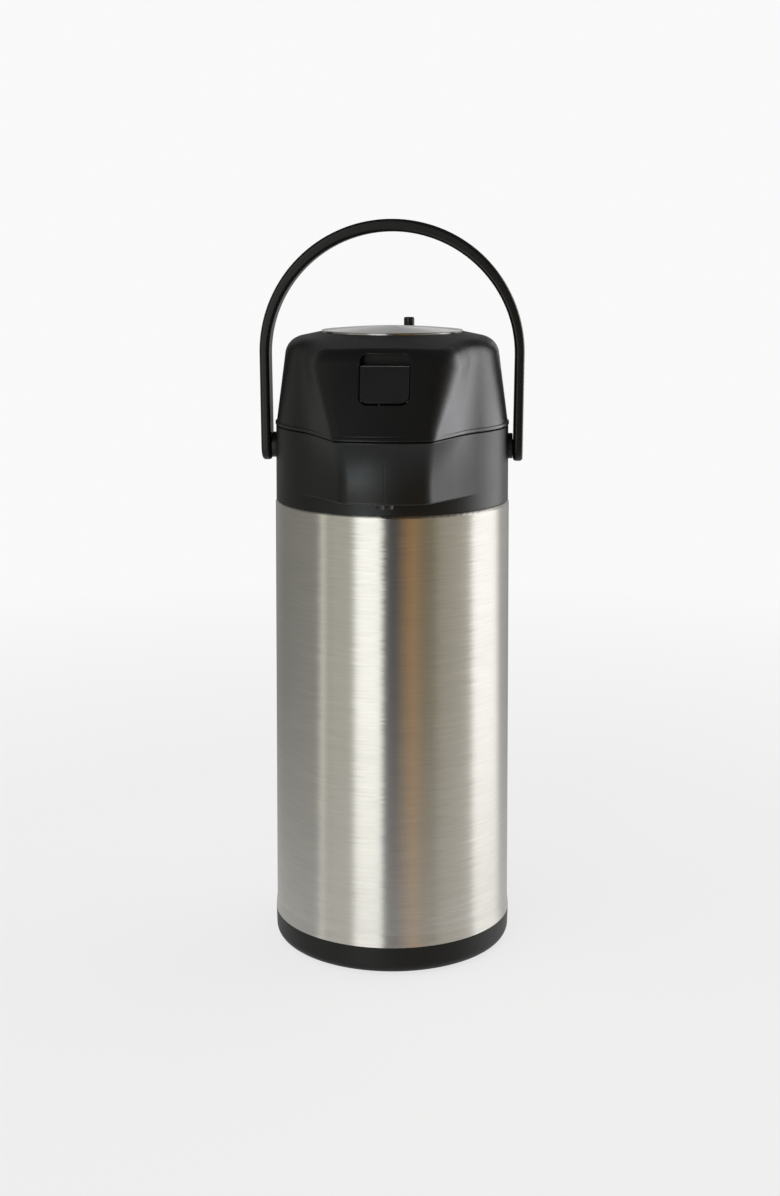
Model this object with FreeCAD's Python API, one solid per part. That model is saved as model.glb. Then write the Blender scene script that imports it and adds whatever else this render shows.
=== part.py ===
import FreeCAD, Part
import math
import os
from collections import namedtuple
from FreeCAD import Vector

# Three litre thermal coffee airpot, in millimetres.
# +Z is up, the spout faces -Y, and the origin is the centre of the foot pad's
# underside, so the airpot stands on the plane z = 0.

# ---- Steel body: outer shell, vacuum liner and their base plate ----
BODY_R = 72.0              # outer radius of the steel shell
STEEL = 0.8                # gauge of every sheet-steel piece
SHELL_BOTTOM = 17.0
FLARE_TOP = 24.0           # the shell widens a little below this height
FLARE_R = BODY_R + 0.6
SHELL_TOP = 273.0
SHELL_EDGE_ROUND = 1.8
SHELL_FLAT_R = 62.0        # inner radius of the flat top ring
NECK_R = 44.0
NECK_FOOT = 284.0
NECK_TOP = 300.0
LINER_R = 64.5
LINER_BOTTOM = 28.0
LINER_SHOULDER = 258.0
LINER_NECK_FOOT = 272.0
LINER_NECK_R = 41.0
LINER_BOTTOM_ROUND = 10.0
LINER_SHOULDER_ROUND = 8.0
BASE_PLATE_RIM = 25.2
BASE_PLATE_DISH = 21.2
BASE_PLATE_DISH_R = 56.0
SEAL_PILL_R = 5.0
SEAL_PILL_H = 1.8

# ---- Plastic base cap and rubber foot ----
CAP_BOTTOM = 0.8
CAP_BOTTOM_R = BODY_R
CAP_ROUND = 5.8
CAP_FLOOR_TOP = 3.6
SPIGOT_R = 71.1            # the cap's rim plugs into the shell
SPIGOT_TOP = 22.0
SPIGOT_WALL = 2.5
FOOT_R = 58.0
FOOT_H = 2.0
FOOT_EDGE = 0.5

# ---- Outline shared by the shoulder and the lid ----
# Seen from above the outline is a circle with a wedge-shaped beak in front.
# height, circle radius, angle of the crease from the front, distance of the
# front corners, their half width, corner rounding and the bulge of the front.
Section = namedtuple("Section", "height radius crease front half_width corner bulge")
WALL = 2.4
SIDE_SLOPE = 1.15          # the sloping front needs this much more inset for an even wall
CREASE_BLEND = 6.0         # degrees of circle taken up by the hollow beside the beak
PARTING = 318.8
SEAM = 0.6                 # gap between shoulder and lid
COLLAR_R = 71.5
BEAK_BOTTOM = 281.6
BEAK = [
    Section(BEAK_BOTTOM, COLLAR_R, 42.5, 85.0, 25.0, 4.0, 3.5),
    Section(300.0, COLLAR_R, 42.5, 86.5, 25.0, 4.0, 3.0),
    Section(PARTING, COLLAR_R, 42.5, 96.5, 28.0, 4.0, 4.0),
]
LID_BOTTOM = PARTING + SEAM
LID = [
    Section(LID_BOTTOM, 71.3, 42.5, 96.9, 28.2, 4.0, 4.0),
    Section(340.0, 68.7, 45.5, 86.9, 33.8, 8.5, 3.6),
    Section(361.0, 66.0, 49.0, 76.8, 41.0, 15.0, 3.2),
    Section(378.0, 63.9, 52.0, 68.5, 48.0, 21.0, 3.0),
]
BEAD_H = 2.2               # proud bead along the lid's lower edge, fainter in front
BEAD_OUT = 0.6
BEAD_FRONT_OUT = 0.15
BEAD_RADIUS = LID[0].radius + BEAD_OUT - BEAD_FRONT_OUT
BEAD = [
    LID[0]._replace(radius=BEAD_RADIUS),
    Section(LID_BOTTOM + BEAD_H, BEAD_RADIUS, 42.8, 95.8, 28.7, 4.5, 4.0),
]
BEAD_ROUND = 0.55
BEAK_BOTTOM_ROUND = 1.2
SEAM_ROUND = 0.5
COLLAR_ROUND = 0.6
OPENING_ROUND = 0.3
WINDOW_RIM_ROUND = 0.6
TAB_ROUND = 0.6
CAP_RIM_ROUND = 0.3
BOSS_ROUND = 0.5
LID_TOP = 376.0
DOME_R = 44.6              # the top is flat inside this radius and slopes beyond it
DOME_SLOPE = 12.0
DOME_DROP = 2.6            # thickness of the top
TOP_ROUND = 12.0
TOP_ROUND_INSIDE = 10.0
RIM_DROP = (0.5, 20.0)     # how far below the top its rim edges lie, least and most
RIM_LEVEL = 3.0            # and the most that one of them rises
FAR = 100.0                # larger than any radius of the head
FRONT = -110.0             # further forward than the beak
CLOSE = 0.1                # how near an edge lies to the place it is looked for
ON_SURFACE = 0.01
EDGE_SAMPLES = 5

# ---- Shoulder inside ----
DECK_BOTTOM = 295.5
DECK_TOP = 298.0
DECK_HOLE_R = 44.3
NECK_RING_R = 51.0
NECK_RING_TOP = 303.0
NECK_RING_NOTCHES = 8
NECK_RING_NOTCH_R = 3.0
NECK_GASKET_R = 48.0
NECK_GASKET_BOTTOM = 293.0
CATCH_HALF = 12.0
CATCH_FRONT = -97.0
CATCH_BACK = -88.5
CATCH_BOTTOM = 316.1
CATCH_TOP = 318.4

# ---- Lid hinge at the rear ----
HINGE_Y = 73.0
HINGE_Z = 321.0
KNUCKLE_R = 4.0
KNUCKLE_RELIEF = 4.6
KNUCKLE_HALF = 12.0
EAR_IN = 12.4
EAR_OUT = 20.0
EAR_FOOT = 303.0
EAR_SINK = 2.0             # how far the ears' feet start inside the body's radius
EAR_THICK = 3.0
KNUCKLE_GAP = 0.3
WEB_H = 13.0               # the lid's knuckle stands on a web of this height
WEB_TOP_OUT = 3.4          # the web's corners, inside the body's radius
WEB_TOP_IN = 4.0
WEB_FOOT_IN = 2.5
HINGE_PIN_R = 1.5
PIN_PLAY = 0.05

# ---- Pouring train ----
DIP_Y = -18.0
DIP_R = 4.5
DIP_BORE = 3.4
DIP_BOTTOM = 33.0
STOPPER_R = 43.5
STOPPER_BOTTOM = 301.0
STOPPER_TOP = 304.0
STOPPER_SKIRT_R = 39.6
STOPPER_SKIRT_BOTTOM = 286.0
STOPPER_WALL = 2.0
VENT_R = 7.0
VENT_BORE = 4.0
VENT_TOP = 313.8
GASKET_R = 43.8
GASKET_BORE = 40.2
CHAMBER_R = 7.5
CHAMBER_BORE = 5.6
CHAMBER_BOTTOM = 288.0
SEAT_BOTTOM = 299.0
SEAT_TOP = 301.0
CHAMBER_CEILING = 315.0
CHAMBER_TOP = 316.5
PIPE_Z = 311.0
PIPE_R = 5.0
PIPE_BORE = 3.5
NOZZLE_Y = -78.5
NOZZLE_R = 5.2
NOZZLE_BOTTOM = 278.5
NOZZLE_TOP = 292.0
NOZZLE_SOCKET_R = 6.6
NOZZLE_SOCKET_BOTTOM = 286.0
FLOOR_BOTTOM = 282.0
FLOOR_TOP = 284.4
FLOOR_PLAY = 0.1
BALL_R = 4.5
BALL_Z = 304.0

# ---- Lid inside ----
LID_PLATE_BOTTOM = 320.0
LID_PLATE_TOP = 322.4
LID_PLATE_PLAY = 0.2
PLATE_BOSS_R = 9.0
PLATE_BOSS_BOTTOM = 316.0
AIR_BORE = 3.0
VALVE_BOTTOM = 314.0
LATCH_SLOT_HALF = 12.5
LATCH_SLOT_BACK = -76.0
SCREW_X = 52.0
SCREW_Y = 24.0
SCREW_R = 1.5
SCREW_HEAD_R = 3.2
SCREW_HEAD_H = 2.2
SCREW_DEPTH = 12.0
SCREW_DRIVE = 0.9          # half width of the cross slot in the head
SCREW_DRIVE_DEPTH = 1.0
SCREW_DRIVE_REACH = 0.7    # share of the head that the slot crosses
BOSS_R = 4.0
BOSS_TOP = 371.0
BELLOWS_R = 31.0
BELLOWS_FOLD = 5.0
BELLOWS_FOLDS = 5
BELLOWS_WALL = 0.8
BELLOWS_TOP = 352.0
SPRING_R = 14.0
SPRING_WIRE = 0.8
SPRING_TURNS = 6

# ---- Push button with its turning lock ----
GUIDE_BORE = 44.2
GUIDE_R = 47.2
GUIDE_BOTTOM = 340.0
CAP_R = 43.2
CAP_SKIRT_BORE = 40.8
CAP_PLATE_BOTTOM = 371.8
CAP_PLATE_TOP = 374.8
CAP_SKIRT_BOTTOM = 356.0
CAP_GUIDE_TOP = 361.0
CAP_GUIDE_R = 44.1
PLUNGER_R = 26.0
PLUNGER_BORE = 24.0
PLUNGER_DISC_TOP = 354.0
DISC_R = 43.4
DISC_TOP = 377.2
DISC_WALL = 1.0
DISC_HOLLOW_R = 41.6
DISC_EDGE = 0.5
DISC_CROWN_R = 42.0
DISC_CROWN = 2.2
KNOB_ANGLE = 73.4          # degrees from +X, unlocked
KNOB_PLACE_R = 31.8
KNOB_R = 3.3
KNOB_H = 6.3
KNOB_ROUND = 0.9
KNOB_STEM_R = 1.8
LOCK_TURN = 33.2           # degrees between unlocked and locked
LOCK_ANGLE = -LOCK_TURN / 2
SHAFT_R = 5.0
SPIDER_HUB_R = 9.0
SPIDER_R = 45.2
SPIDER_HALF = 4.0
SPIDER_BOTTOM = 368.5
SPIDER_TOP = 371.3
SPIDER_PLAY = 0.3
GROOVE_R = 45.4
GROOVE_PLAY_DEG = 1.0
GROOVE_BOTTOM = 347.0
GROOVE_LOCK_BOTTOM = 367.5
GROOVE_TOP = 372.3

# ---- Latch on the lid's front ----
WINDOW_HALF = 14.5
WINDOW_BOTTOM = 339.0
WINDOW_TOP = 366.8
WINDOW_ROUND_LOW = 5.0
WINDOW_ROUND_HIGH = 4.0
TAB_GAP = 0.35
TAB_GAP_LOW = 1.0          # lets the tab's lower edge dip as it tilts
TAB_TOP = 360.6
TAB_THICK = 3.0
CHEEK_WALL = 1.6           # walls of the pocket behind the latch
CHEEK_BOTTOM = 336.0
POCKET_BACK = -67.0
POCKET_FLOOR = 351.0
POCKET_FLOOR_FRONT = -80.5
LATCH_Y = -86.0
LATCH_Z = 341.0
LATCH_PIN_R = 1.5
LATCH_KNUCKLE_R = 2.5
LATCH_KNUCKLE_IN = 4.0
LATCH_KNUCKLE_OUT = 10.5
PRONG_IN = 6.5
PRONG_OUT = 10.5
PRONG_FRONT = -87.0
PRONG_BACK = -84.2
PRONG_BOTTOM = 313.4
TOE_FRONT = -90.0
TOE_TOP = 315.9
TORSION_R = 1.95
TORSION_WIRE = 0.4
TORSION_HALF = 3.0
TORSION_TURNS = 5
TORSION_LEG = 7.0

# ---- Carrying handle ----
PIVOT_Z = 305.8
BOW_Z = 363.8
BOW_R = 81.2
BOW_BORE_Z = 362.0
BOW_BORE = 75.3
HANDLE_FOOT = 296.4
FOOT_X_OUT = 80.2
FOOT_X_IN = 74.2
HANDLE_HALF = 9.4
HANDLE_ROUND = 2.0
PIVOT_R = 4.0
PIVOT_BOSS_R = 7.85
PIVOT_BOSS_OUT = 74.1
PIVOT_HEAD_R = 6.2
PIVOT_HEAD_IN = 78.7
PIVOT_HEAD_OUT = 80.2
PIVOT_HEAD_PLAY = 0.2
PIVOT_NUT_R = 7.4
PIVOT_NUT_IN = 66.4

UP = Vector(0, 0, 1)
ALONG_X = Vector(1, 0, 0)


def rod(radius, low, high, x=0.0, y=0.0):
    """Upright cylinder between two heights."""
    return Part.makeCylinder(radius, high - low, Vector(x, y, low))


def ring(outer, bore, low, high, x=0.0, y=0.0):
    """Upright tube between two heights."""
    return rod(outer, low, high, x, y).cut(rod(bore, low, high, x, y))


def cross_rod(radius, left, right, y, z):
    """Cylinder along X."""
    return Part.makeCylinder(radius, right - left, Vector(left, y, z), ALONG_X)


def block(left, right, front, back, low, high):
    """Box between two corners."""
    return Part.makeBox(right - left, back - front, high - low, Vector(left, front, low))


def both_sides(shape):
    """The shape and its mirror image across x = 0, as a list."""
    return [shape, shape.mirror(Vector(), ALONG_X)]


def joined(shapes):
    """One solid from touching or overlapping shapes."""
    return shapes[0].multiFuse(shapes[1:]).removeSplitter()


def turned(profile):
    """Solid of revolution about Z from (radius, height) corners."""
    corners = [Vector(r, 0, z) for r, z in profile]
    face = Part.Face(Part.makePolygon(corners + corners[:1]))
    return face.revolve(Vector(), UP, 360)


def sheet(path, gauge):
    """Corners of an even wall that lies to the left of a (radius, height) path."""
    normals = []
    for (r0, z0), (r1, z1) in zip(path, path[1:]):
        length = math.hypot(r1 - r0, z1 - z0)
        normals.append(((z0 - z1) / length, (r1 - r0) / length))
    inner = []
    for (r, z), before, after in zip(path, normals[:1] + normals, normals + normals[-1:]):
        across = (before[0] + after[0], before[1] + after[1])
        reach = 2 * gauge / (across[0] ** 2 + across[1] ** 2)
        inner.append((r + across[0] * reach, z + across[1] * reach))
    return path + inner[::-1]


def round_rings(solid, radius, places):
    """Round the circular edges nearest to the given (radius, height) places."""
    def miss(edge, place):
        box = edge.BoundBox
        return math.hypot(box.XMax - place[0], box.ZMin - place[1]) + box.ZLength
    picked = [min(solid.Edges, key=lambda edge: miss(edge, place)) for place in places]
    return solid.makeFillet(radius, picked)


def edges_at(solid, height):
    """The solid's edges that lie level at one height."""
    return [edge for edge in solid.Edges
            if abs(edge.BoundBox.ZMin - height) + abs(edge.BoundBox.ZMax - height) < CLOSE]


def edges_on(edges, skin):
    """Those of the edges that lie on the surface of a solid."""
    shell = skin.Shells[0]
    return [edge for edge in edges
            if all(shell.distToShape(Part.Vertex(point))[0] < ON_SURFACE
                   for point in edge.discretize(EDGE_SAMPLES))]


def sector(outer, bore, low, high, start, stop):
    """Part of a tube between two angles in degrees from +X."""
    face = Part.Face(Part.makePolygon([
        Vector(bore, 0, low), Vector(outer, 0, low),
        Vector(outer, 0, high), Vector(bore, 0, high), Vector(bore, 0, low)]))
    swept = face.revolve(Vector(), UP, stop - start)
    return swept.rotate(Vector(), UP, start)


def curve(start, pull, end):
    """Smooth bend from start to end, tangent to the lines towards pull."""
    bend = Part.BezierCurve()
    bend.setPoles([start, pull, end])
    return bend.toShape()


def outline(section, inset=0.0):
    """Closed wire of the head's plan outline at one height, drawn inwards by inset."""
    z = section.height
    radius = section.radius - inset
    front = section.front - inset * SIDE_SLOPE
    angle = math.radians(section.crease)
    crease = Vector(section.radius * math.sin(angle), -section.radius * math.cos(angle), 0)
    along = (Vector(section.half_width, -section.front, 0) - crease).normalize()
    crease = crease + Vector(along.y, -along.x, 0) * inset
    corner = crease + along * ((-front - crease.y) / along.y)

    start = angle + math.radians(CREASE_BLEND)
    leave = Vector(radius * math.sin(start), -radius * math.cos(start), 0)
    tangent = Vector(-math.cos(start), -math.sin(start), 0)
    gap = crease - leave
    reach = (gap.y * along.x - gap.x * along.y) / (tangent.y * along.x - tangent.x * along.y)
    meet = leave + tangent * reach
    side_start = meet + along * reach
    side_end = corner - along * section.corner
    tip = Vector(0, -(front + 2 * section.bulge), 0)
    front_end = corner + (tip - corner).normalize() * section.corner

    def right(point):
        return Vector(point.x, point.y, z)

    def left(point):
        return Vector(-point.x, point.y, z)

    return Part.Wire([
        Part.Arc(right(leave), Vector(0, radius, z), left(leave)).toShape(),
        curve(left(leave), left(meet), left(side_start)),
        Part.makeLine(left(side_start), left(side_end)),
        curve(left(side_end), left(corner), left(front_end)),
        curve(left(front_end), right(tip), right(front_end)),
        curve(right(front_end), right(corner), right(side_end)),
        Part.makeLine(right(side_end), right(side_start)),
        curve(right(side_start), right(meet), right(leave))])


def lofted(sections, inset=0.0):
    """Solid through the outlines of all sections."""
    return Part.makeLoft([outline(section, inset) for section in sections], True, False)


def dome(drop):
    """Everything under the lid's domed top, lowered by drop."""
    edge = LID_TOP - (FAR - DOME_R) * math.tan(math.radians(DOME_SLOPE))
    return turned([(0, 0), (FAR, 0), (FAR, edge - drop), (DOME_R, LID_TOP - drop), (0, LID_TOP - drop)])


def lid_form(inset, drop, rounding):
    """Solid lid shape, drawn in from the sides and the top."""
    form = lofted(LID, inset).common(dome(drop))
    flat = [edge for edge in form.Edges
            if edge.BoundBox.ZMin > LID_TOP - drop - RIM_DROP[1]
            and edge.BoundBox.ZMax < LID_TOP - drop - RIM_DROP[0]
            and edge.BoundBox.ZLength < RIM_LEVEL]
    return form.makeFillet(rounding, flat)


# ---- Steel body ----

def outer_shell():
    path = [(FLARE_R, SHELL_BOTTOM), (BODY_R, FLARE_TOP), (BODY_R, SHELL_TOP), (SHELL_FLAT_R, SHELL_TOP),
            (NECK_R, NECK_FOOT), (NECK_R, NECK_TOP - STEEL)]
    shell = turned(sheet(path, STEEL)).cut(rod(FAR, 0, SHELL_BOTTOM))
    shell = round_rings(shell, SHELL_EDGE_ROUND, [(BODY_R, SHELL_TOP)])
    return round_rings(shell, SHELL_EDGE_ROUND - STEEL, [(BODY_R - STEEL, SHELL_TOP - STEEL)])


def inner_liner():
    path = [(0, LINER_BOTTOM), (LINER_R, LINER_BOTTOM), (LINER_R, LINER_SHOULDER),
            (LINER_NECK_R, LINER_NECK_FOOT), (LINER_NECK_R, NECK_TOP - STEEL), (NECK_R, NECK_TOP - STEEL)]
    liner = turned(sheet(path, STEEL))
    liner = round_rings(liner, LINER_BOTTOM_ROUND, [(LINER_R, LINER_BOTTOM)])
    liner = round_rings(liner, LINER_BOTTOM_ROUND - STEEL, [(LINER_R - STEEL, LINER_BOTTOM + STEEL)])
    liner = round_rings(liner, LINER_SHOULDER_ROUND, [(LINER_R, LINER_SHOULDER)])
    return round_rings(liner, LINER_SHOULDER_ROUND - STEEL, [(LINER_R - STEEL, LINER_SHOULDER)])


def vacuum_base_plate():
    path = [(0, BASE_PLATE_DISH), (BASE_PLATE_DISH_R, BASE_PLATE_DISH),
            (SHELL_FLAT_R, BASE_PLATE_RIM), (BODY_R - STEEL, BASE_PLATE_RIM)]
    return turned(sheet(path, STEEL))


def vacuum_seal():
    return rod(SEAL_PILL_R, BASE_PLATE_DISH - SEAL_PILL_H, BASE_PLATE_DISH)


def base_cap():
    cap = turned([(0, CAP_BOTTOM), (CAP_BOTTOM_R, CAP_BOTTOM), (FLARE_R, SHELL_BOTTOM),
                  (SPIGOT_R, SHELL_BOTTOM), (SPIGOT_R, SPIGOT_TOP), (SPIGOT_R - SPIGOT_WALL, SPIGOT_TOP),
                  (SPIGOT_R - SPIGOT_WALL, CAP_FLOOR_TOP), (0, CAP_FLOOR_TOP)])
    cap = round_rings(cap, CAP_ROUND, [(CAP_BOTTOM_R, CAP_BOTTOM)])
    cap = round_rings(cap, CAP_RIM_ROUND, [(FLARE_R, SHELL_BOTTOM)])
    return cap.cut(rod(FOOT_R, CAP_BOTTOM, FOOT_H))


def foot_pad():
    return round_rings(rod(FOOT_R, 0, FOOT_H), FOOT_EDGE, [(FOOT_R, 0)])


# ---- Shoulder and neck ----

def hinge_ear():
    foot = BODY_R - EAR_SINK
    profile = [(foot, EAR_FOOT), (HINGE_Y + KNUCKLE_R, HINGE_Z - KNUCKLE_R),
               (HINGE_Y + KNUCKLE_R, HINGE_Z), (HINGE_Y - KNUCKLE_R, HINGE_Z), (foot - EAR_THICK, EAR_FOOT)]
    corners = [Vector(EAR_IN, y, z) for y, z in profile]
    web = Part.Face(Part.makePolygon(corners + corners[:1])).extrude(ALONG_X * (EAR_OUT - EAR_IN))
    return web.fuse(cross_rod(KNUCKLE_R, EAR_IN, EAR_OUT, HINGE_Y, HINGE_Z))


def shoulder():
    beak = lofted(BEAK)
    beak = beak.makeFillet(BEAK_BOTTOM_ROUND, edges_at(beak, BEAK_BOTTOM))
    beak = beak.makeFillet(SEAM_ROUND, edges_at(beak, PARTING))
    collar = round_rings(rod(COLLAR_R, SHELL_TOP, DECK_BOTTOM), COLLAR_ROUND, [(COLLAR_R, SHELL_TOP)])
    skin = beak.fuse(collar)
    beak_hollow = lofted(BEAK, WALL).cut(rod(COLLAR_R, BEAK_BOTTOM, DECK_TOP))
    hollows = [beak_hollow, rod(COLLAR_R - WALL, SHELL_TOP, DECK_BOTTOM), rod(DECK_HOLE_R, DECK_BOTTOM, DECK_TOP)]
    body = skin.cut(hollows)
    catch = block(-CATCH_HALF, CATCH_HALF, CATCH_FRONT, CATCH_BACK, CATCH_BOTTOM, CATCH_TOP)
    ears = [ear.cut(rod(COLLAR_R - WALL, EAR_FOOT, HINGE_Z)) for ear in both_sides(hinge_ear())]
    body = joined([body, catch] + ears)
    relief = KNUCKLE_HALF + KNUCKLE_GAP
    body = body.cut(cross_rod(KNUCKLE_RELIEF, -relief, relief, HINGE_Y, HINGE_Z))
    body = body.cut(cross_rod(HINGE_PIN_R, -EAR_OUT, EAR_OUT, HINGE_Y, HINGE_Z))
    return body.cut(both_sides(cross_rod(PIVOT_R, PIVOT_NUT_IN, FAR, 0, PIVOT_Z)))


def neck_ring():
    body = ring(NECK_RING_R, NECK_R, DECK_TOP, NECK_RING_TOP)
    notches = []
    for step in range(NECK_RING_NOTCHES):
        angle = 2 * math.pi * (step + 0.5) / NECK_RING_NOTCHES
        x = NECK_RING_R * math.cos(angle)
        y = NECK_RING_R * math.sin(angle)
        notches.append(rod(NECK_RING_NOTCH_R, DECK_TOP, NECK_RING_TOP, x, y))
    return body.cut(notches)


def neck_gasket():
    return ring(NECK_GASKET_R, NECK_R, NECK_GASKET_BOTTOM, DECK_BOTTOM)


def beak_floor():
    plate = lofted(BEAK, WALL + FLOOR_PLAY).common(block(-FAR, FAR, FRONT, 0, FLOOR_BOTTOM, FLOOR_TOP))
    plate = plate.cut(rod(COLLAR_R + FLOOR_PLAY, FLOOR_BOTTOM, FLOOR_TOP))
    return plate.cut(rod(NOZZLE_R, FLOOR_BOTTOM, FLOOR_TOP, 0, NOZZLE_Y))


def hinge_pin():
    return cross_rod(HINGE_PIN_R, -EAR_OUT, EAR_OUT, HINGE_Y, HINGE_Z)


# ---- Pouring train ----

def stopper():
    flange = rod(STOPPER_R, STOPPER_BOTTOM, STOPPER_TOP)
    skirt = ring(STOPPER_SKIRT_R, STOPPER_SKIRT_R - STOPPER_WALL, STOPPER_SKIRT_BOTTOM, STOPPER_BOTTOM)
    vent = rod(VENT_R, STOPPER_TOP, VENT_TOP)
    body = joined([flange, skirt, vent]).cut(rod(VENT_BORE, STOPPER_BOTTOM, VENT_TOP))
    return body.cut(rod(CHAMBER_R, STOPPER_BOTTOM, STOPPER_TOP, 0, DIP_Y))


def stopper_gasket():
    return ring(GASKET_R, GASKET_BORE, NECK_TOP, STOPPER_BOTTOM)


def dip_tube():
    return ring(DIP_R, DIP_BORE, DIP_BOTTOM, SEAT_BOTTOM, 0, DIP_Y)


def outlet_elbow():
    length = DIP_Y - NOZZLE_Y

    def bent_pipe(radius, low):
        level = Part.makeCylinder(radius, length, Vector(0, DIP_Y, PIPE_Z), Vector(0, -1, 0))
        drop = rod(radius, low, PIPE_Z, 0, NOZZLE_Y)
        return joined([level, drop, Part.makeSphere(radius, Vector(0, NOZZLE_Y, PIPE_Z))])

    chamber = rod(CHAMBER_R, CHAMBER_BOTTOM, CHAMBER_TOP, 0, DIP_Y)
    body = joined([chamber, bent_pipe(PIPE_R, NOZZLE_SOCKET_BOTTOM)])
    socket = rod(DIP_R, CHAMBER_BOTTOM, SEAT_BOTTOM, 0, DIP_Y)
    seat = rod(DIP_BORE, SEAT_BOTTOM, SEAT_TOP, 0, DIP_Y)
    room = rod(CHAMBER_BORE, SEAT_TOP, CHAMBER_CEILING, 0, DIP_Y)
    return body.cut([socket, seat, room, bent_pipe(PIPE_BORE, NOZZLE_SOCKET_BOTTOM)])


def spout_nozzle():
    body = joined([rod(NOZZLE_R, NOZZLE_BOTTOM, NOZZLE_TOP, 0, NOZZLE_Y),
                   rod(NOZZLE_SOCKET_R, FLOOR_TOP, NOZZLE_TOP, 0, NOZZLE_Y)])
    body = body.cut(rod(PIPE_BORE, NOZZLE_BOTTOM, NOZZLE_SOCKET_BOTTOM, 0, NOZZLE_Y))
    return body.cut(rod(PIPE_R, NOZZLE_SOCKET_BOTTOM, NOZZLE_TOP, 0, NOZZLE_Y))


def anti_spill_ball():
    return Part.makeSphere(BALL_R, Vector(0, DIP_Y, BALL_Z))


# ---- Lid ----

def window(gap, low_gap, top):
    """Prism along Y through the front of the lid, with rounded corners."""
    half = WINDOW_HALF - gap
    bottom = WINDOW_BOTTOM + low_gap
    prism = block(-half, half, FRONT, 0, bottom, top)

    def corners(height):
        return [edge for edge in prism.Edges
                if edge.BoundBox.YLength > FAR and abs(edge.BoundBox.ZMin - height) < CLOSE]

    prism = prism.makeFillet(WINDOW_ROUND_LOW - gap, corners(bottom))
    if top == WINDOW_TOP:
        prism = prism.makeFillet(WINDOW_ROUND_HIGH, corners(top))
    return prism


def latch_pocket():
    """Walls behind the latch window, before they are trimmed to the lid."""
    outer = WINDOW_HALF + TAB_GAP + CHEEK_WALL
    cheek = block(WINDOW_HALF + TAB_GAP, outer, -FAR, POCKET_BACK, CHEEK_BOTTOM, LID_TOP)
    back = block(-outer, outer, POCKET_BACK - CHEEK_WALL, POCKET_BACK, POCKET_FLOOR, LID_TOP)
    floor = block(-outer, outer, POCKET_FLOOR_FRONT, POCKET_BACK, POCKET_FLOOR, POCKET_FLOOR + CHEEK_WALL)
    roof = block(-outer, outer, -FAR, POCKET_BACK, WINDOW_TOP, WINDOW_TOP + CHEEK_WALL)
    return both_sides(cheek) + [back, floor, roof]


def screw_places():
    return [(x, y) for x in (-SCREW_X, SCREW_X) for y in (-SCREW_Y, SCREW_Y)]


def guide_grooves():
    """Upright grooves for pressing and level grooves for locking, two of each."""
    half = math.degrees(SPIDER_HALF / SPIDER_R) + GROOVE_PLAY_DEG
    grooves = []
    for side in (0, 180):
        start = LOCK_ANGLE - half + side
        grooves.append(sector(GROOVE_R, CAP_R, GROOVE_BOTTOM, GROOVE_TOP, start, start + 2 * half))
        grooves.append(sector(GROOVE_R, CAP_R, GROOVE_LOCK_BOTTOM, GROOVE_TOP, start, start + 2 * half + LOCK_TURN))
    return grooves


def lid_knuckle():
    profile = [(HINGE_Y + KNUCKLE_R, HINGE_Z), (BODY_R - WEB_TOP_OUT, HINGE_Z + WEB_H),
               (BODY_R - WEB_TOP_IN, HINGE_Z + WEB_H), (BODY_R - WEB_FOOT_IN, HINGE_Z)]
    corners = [Vector(-KNUCKLE_HALF, y, z) for y, z in profile]
    web = Part.Face(Part.makePolygon(corners + corners[:1])).extrude(ALONG_X * (2 * KNUCKLE_HALF))
    return web.fuse(cross_rod(KNUCKLE_R, -KNUCKLE_HALF, KNUCKLE_HALF, HINGE_Y, HINGE_Z))


def lid():
    form = lid_form(0, 0, TOP_ROUND)
    bead = Part.makeLoft([outline(section, -BEAD_FRONT_OUT) for section in BEAD], True, False)
    bead = bead.makeFillet(BEAD_ROUND, edges_at(bead, LID_BOTTOM) + edges_at(bead, LID_BOTTOM + BEAD_H))
    opening = window(0, 0, WINDOW_TOP).common(block(-FAR, FAR, FRONT, POCKET_BACK - CHEEK_WALL,
                                                    WINDOW_BOTTOM, WINDOW_TOP))
    form = form.fuse(bead)
    hollow = lid_form(WALL, DOME_DROP, TOP_ROUND_INSIDE)
    inside = [rod(BOSS_R, LID_PLATE_TOP, BOSS_TOP, x, y) for x, y in screw_places()]
    inside = inside + latch_pocket() + [ring(GUIDE_R, GUIDE_BORE, GUIDE_BOTTOM, LID_TOP)]
    inside = [piece.common(form) for piece in inside]
    body = joined([form.cut(hollow)] + inside + [lid_knuckle()])
    body = body.cut([rod(GUIDE_BORE, GUIDE_BOTTOM, LID_TOP), opening])
    body = round_rings(body, OPENING_ROUND, [(GUIDE_BORE, LID_TOP)])
    front = [edge for edge in body.Edges if opening.BoundBox.isInside(edge.BoundBox.Center)
             and edge.BoundBox.YMax < POCKET_BACK]
    body = body.makeFillet(WINDOW_RIM_ROUND, edges_on(front, form))
    pilots = [rod(SCREW_R, LID_PLATE_TOP, LID_PLATE_BOTTOM + SCREW_DEPTH, x, y) for x, y in screw_places()]
    ear_room = both_sides(cross_rod(KNUCKLE_RELIEF, EAR_IN - KNUCKLE_GAP, EAR_OUT + KNUCKLE_GAP,
                                    HINGE_Y, HINGE_Z))
    bore = cross_rod(HINGE_PIN_R + PIN_PLAY, -KNUCKLE_HALF, KNUCKLE_HALF, HINGE_Y, HINGE_Z)
    return body.cut(pilots + ear_room + guide_grooves() + [bore, latch_pin()])


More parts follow.
